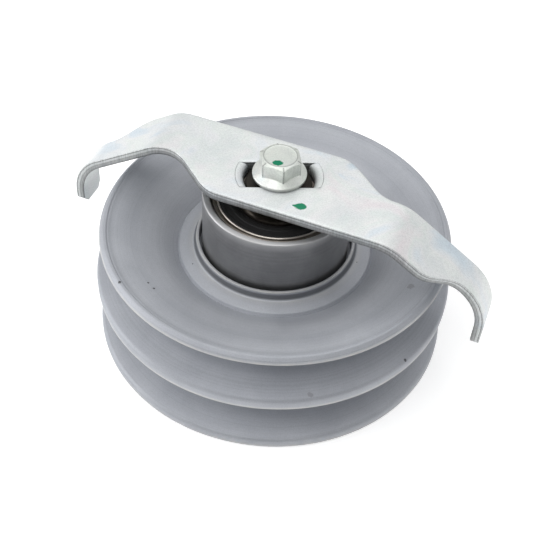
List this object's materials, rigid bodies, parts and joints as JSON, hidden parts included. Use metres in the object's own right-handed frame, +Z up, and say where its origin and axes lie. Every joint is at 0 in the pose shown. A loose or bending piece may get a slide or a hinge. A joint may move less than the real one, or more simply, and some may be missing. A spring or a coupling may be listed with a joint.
{
  "type": "belt tensioner idler",
  "caption": "Double V-groove idler pulley on a ball-bearing spindle, with a bolted sheet-steel belt keeper whose hooked arms reach past the rim.",
  "frame": {"origin": "on the spindle axis, in the plane of the pulley's bottom flange, at the bottom centre of the whole part's box", "axes": "+Z up along the spindle axis towards the bolt head, +X along the belt keeper's long axis"},
  "size_m": [0.1578, 0.128, 0.0751],
  "materials": {
    "grey_casting": "matte bluish grey, machined",
    "turned_steel": "turned, satin",
    "bearing_steel": "ground",
    "ball_steel": "polished",
    "cage_plastic": "moulded",
    "seal_rubber": "matt",
    "spring_steel": "dark oiled",
    "zinc_sheet": "clear zinc plated",
    "zinc_fastener": "clear zinc plated"
  },
  "bodies": {
    "spindle_and_keeper": {"spindle": "turned_steel", "inner_spacer": "turned_steel", "top_spacer": "turned_steel", "belt_keeper": "zinc_sheet", "flange_bolt": "zinc_fastener", "upper_bearing_inner_ring": "bearing_steel", "lower_bearing_inner_ring": "bearing_steel"},
    "pulley": {"pulley_body": "grey_casting", "bearing_housing": "turned_steel", "retaining_ring": "spring_steel", "upper_bearing_outer_ring": "bearing_steel", "upper_bearing_seal_top": "seal_rubber", "upper_bearing_seal_bottom": "seal_rubber", "lower_bearing_outer_ring": "bearing_steel", "lower_bearing_seal_top": "seal_rubber", "lower_bearing_seal_bottom": "seal_rubber"},
    "upper_ball_train": {"upper_bearing_ball_cage": "cage_plastic", "upper_bearing_ball_1": "ball_steel", "upper_bearing_ball_2": "ball_steel", "upper_bearing_ball_3": "ball_steel", "upper_bearing_ball_4": "ball_steel", "upper_bearing_ball_5": "ball_steel", "upper_bearing_ball_6": "ball_steel", "upper_bearing_ball_7": "ball_steel", "upper_bearing_ball_8": "ball_steel"},
    "lower_ball_train": {"lower_bearing_ball_cage": "cage_plastic", "lower_bearing_ball_1": "ball_steel", "lower_bearing_ball_2": "ball_steel", "lower_bearing_ball_3": "ball_steel", "lower_bearing_ball_4": "ball_steel", "lower_bearing_ball_5": "ball_steel", "lower_bearing_ball_6": "ball_steel", "lower_bearing_ball_7": "ball_steel", "lower_bearing_ball_8": "ball_steel"}
  },
  "joints": [
    {"name": "pulley_spin", "type": "hinge", "parent": "spindle_and_keeper", "child": "pulley", "pos_m": [0, 0, 0.0335], "axis": [0, 0, 1], "continuous": true},
    {"name": "upper_balls_roll", "type": "hinge", "parent": "spindle_and_keeper", "child": "upper_ball_train", "pos_m": [0, 0, 0.0507], "axis": [0, 0, 1], "continuous": true},
    {"name": "lower_balls_roll", "type": "hinge", "parent": "spindle_and_keeper", "child": "lower_ball_train", "pos_m": [0, 0, 0.0156], "axis": [0, 0, 1], "continuous": true}
  ],
  "couplings": [
    {"joint": "upper_balls_roll", "follows": "pulley_spin", "ratio": 0.6185},
    {"joint": "lower_balls_roll", "follows": "pulley_spin", "ratio": 0.6185}
  ]
}
